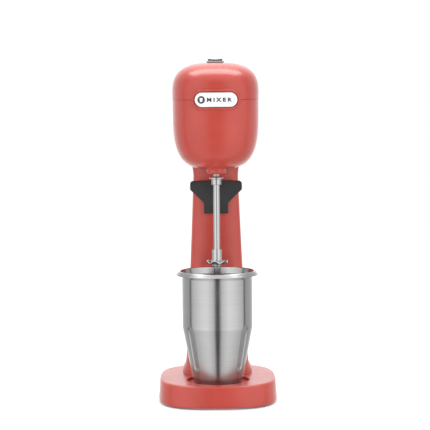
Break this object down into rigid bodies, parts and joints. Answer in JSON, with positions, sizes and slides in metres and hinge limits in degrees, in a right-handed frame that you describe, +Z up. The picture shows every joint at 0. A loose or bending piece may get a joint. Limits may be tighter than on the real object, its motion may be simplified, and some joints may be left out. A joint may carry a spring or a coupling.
{
  "type": "milkshake mixer",
  "caption": "Bar milkshake mixer: a rounded motor head on a hollow column and base, a hanging spindle with agitator discs, a steel cup and a sprung cup holder.",
  "frame": {"origin": "centre of the bounding box's bottom, on the surface that the rubber feet stand on", "axes": "+Z up, -Y to the front (the cup's side), +X to the right seen from the front"},
  "size_m": [0.17, 0.196, 0.49],
  "materials": {
    "paint": "red satin paint on die-cast aluminium",
    "cup_steel": "brushed",
    "spindle_steel": "polished",
    "zinc": "satin",
    "aluminium": "satin",
    "rubber": "matte",
    "white_plastic": "satin",
    "black_plastic": "satin",
    "grey_plastic": "satin",
    "plate": "satin",
    "lamination": "satin",
    "copper": "satin",
    "carbon": "matte"
  },
  "bodies": {
    "stand": {"base_casting": "paint", "base_plate": "zinc", "foot_front_left": "rubber", "foot_front_right": "rubber", "foot_rear_left": "rubber", "foot_rear_right": "rubber", "cord_gland": "rubber", "column_casting": "paint", "motor_housing": "paint", "top_cap": "paint", "switch_body": "grey_plastic", "terminal_block": "white_plastic", "foot_screw_front_left": "zinc", "foot_screw_front_right": "zinc", "foot_screw_rear_left": "zinc", "foot_screw_rear_right": "zinc", "column_bolt_front_left": "zinc", "column_bolt_front_right": "zinc", "column_bolt_rear_left": "zinc", "column_bolt_rear_right": "zinc", "holder_guide": "white_plastic", "microswitch": "black_plastic", "wiring_loom": "rubber", "name_plate": "plate", "head_bolt_left": "zinc", "head_bolt_right": "zinc", "cap_screw_left": "zinc", "cap_screw_right": "zinc", "lower_bearing": "spindle_steel", "upper_bearing": "spindle_steel", "shaft_seal": "rubber", "stator_core": "lamination", "field_coil_front": "copper", "field_coil_rear": "copper", "motor_bracket": "aluminium", "brush_holder_front": "black_plastic", "brush_holder_rear": "black_plastic", "carbon_brush_front": "carbon", "carbon_brush_rear": "carbon", "capacitor": "white_plastic", "motor_bolt_left": "zinc", "motor_bolt_right": "zinc"},
    "rotor": {"motor_shaft": "spindle_steel", "armature_core": "lamination", "armature_winding": "copper", "commutator": "copper", "cooling_fan": "black_plastic", "coupling_nut": "spindle_steel", "spindle_rod": "spindle_steel", "upper_agitator": "spindle_steel", "lower_agitator": "spindle_steel"},
    "cup": {"mixing_cup": "cup_steel"},
    "holder": {"cup_holder": "black_plastic", "holder_slide": "aluminium", "holder_spring": "zinc", "holder_screw_lower": "zinc", "holder_screw_upper": "zinc"},
    "plunger": {"switch_plunger": "white_plastic"},
    "rocker": {"speed_rocker": "black_plastic"}
  },
  "joints": [
    {"name": "spindle_spin", "type": "hinge", "parent": "stand", "child": "rotor", "pos_m": [0, -0.038, 0.25], "axis": [0, 0, 1], "continuous": true},
    {"name": "cup_lift", "type": "slide", "parent": "stand", "child": "cup", "axis": [0, 0, 1], "range_m": [0, 0.132]},
    {"name": "holder_drop", "type": "slide", "parent": "stand", "child": "holder", "axis": [0, 0, -1], "range_m": [0, 0.003], "stiffness_N_per_m": 600, "springref_m": -0.002, "deforming": ["holder_spring"]},
    {"name": "plunger_press", "type": "slide", "parent": "stand", "child": "plunger", "axis": [0, 0, -1], "range_m": [0, 0.003], "stiffness_N_per_m": 150, "springref_m": -0.002},
    {"name": "rocker_tilt", "type": "hinge", "parent": "stand", "child": "rocker", "pos_m": [0, -0.012, 0.4834], "axis": [0, 1, 0], "range_deg": [-10, 10]}
  ],
  "couplings": [
    {"joint": "plunger_press", "follows": "holder_drop", "ratio": 1}
  ]
}
